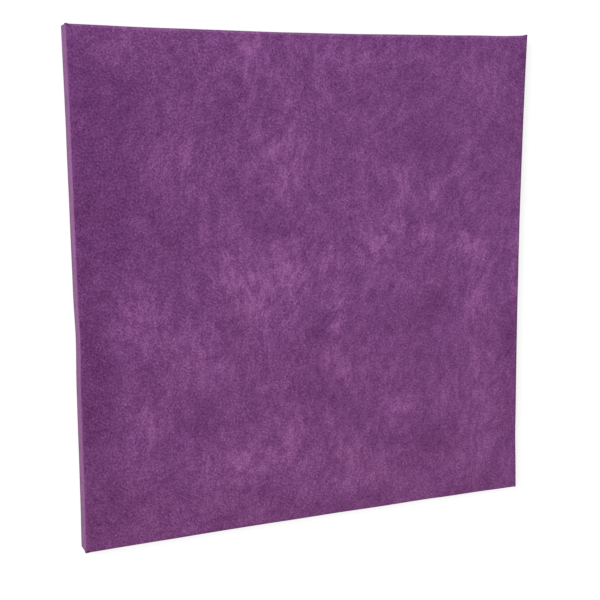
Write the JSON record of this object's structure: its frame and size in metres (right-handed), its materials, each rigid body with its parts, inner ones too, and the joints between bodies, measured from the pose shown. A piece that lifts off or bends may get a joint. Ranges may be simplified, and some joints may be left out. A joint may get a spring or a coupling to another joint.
{
  "type": "bass trap",
  "caption": "Square sound-absorbing panel: a rigid mineral wool board in a thin mitred timber frame, wrapped in microsuede that is returned on to the back over a dust cloth.",
  "frame": {"origin": "middle of the back, on the floor that the panel lies on", "axes": "+Z out of the fabric face, +X to the right and +Y to the top of the panel as it faces the viewer in the picture"},
  "size_m": [0.6096, 0.6096, 0.0254],
  "materials": {
    "microsuede": "brushed purple microsuede with a soft, blotchy nap",
    "dust_cloth": "matt black non-woven cloth",
    "mineral_wool": "rigid fibrous board, sawn edges",
    "softwood": "planed, unfinished pine",
    "staple_steel": "zinc-coated staple wire"
  },
  "bodies": {
    "root": {"fabric_cover": "microsuede", "dust_cover": "dust_cloth", "insulation_board": "mineral_wool", "frame_rail_top": "softwood", "frame_rail_bottom": "softwood", "frame_rail_left": "softwood", "frame_rail_right": "softwood"}
  },
  "joints": []
}
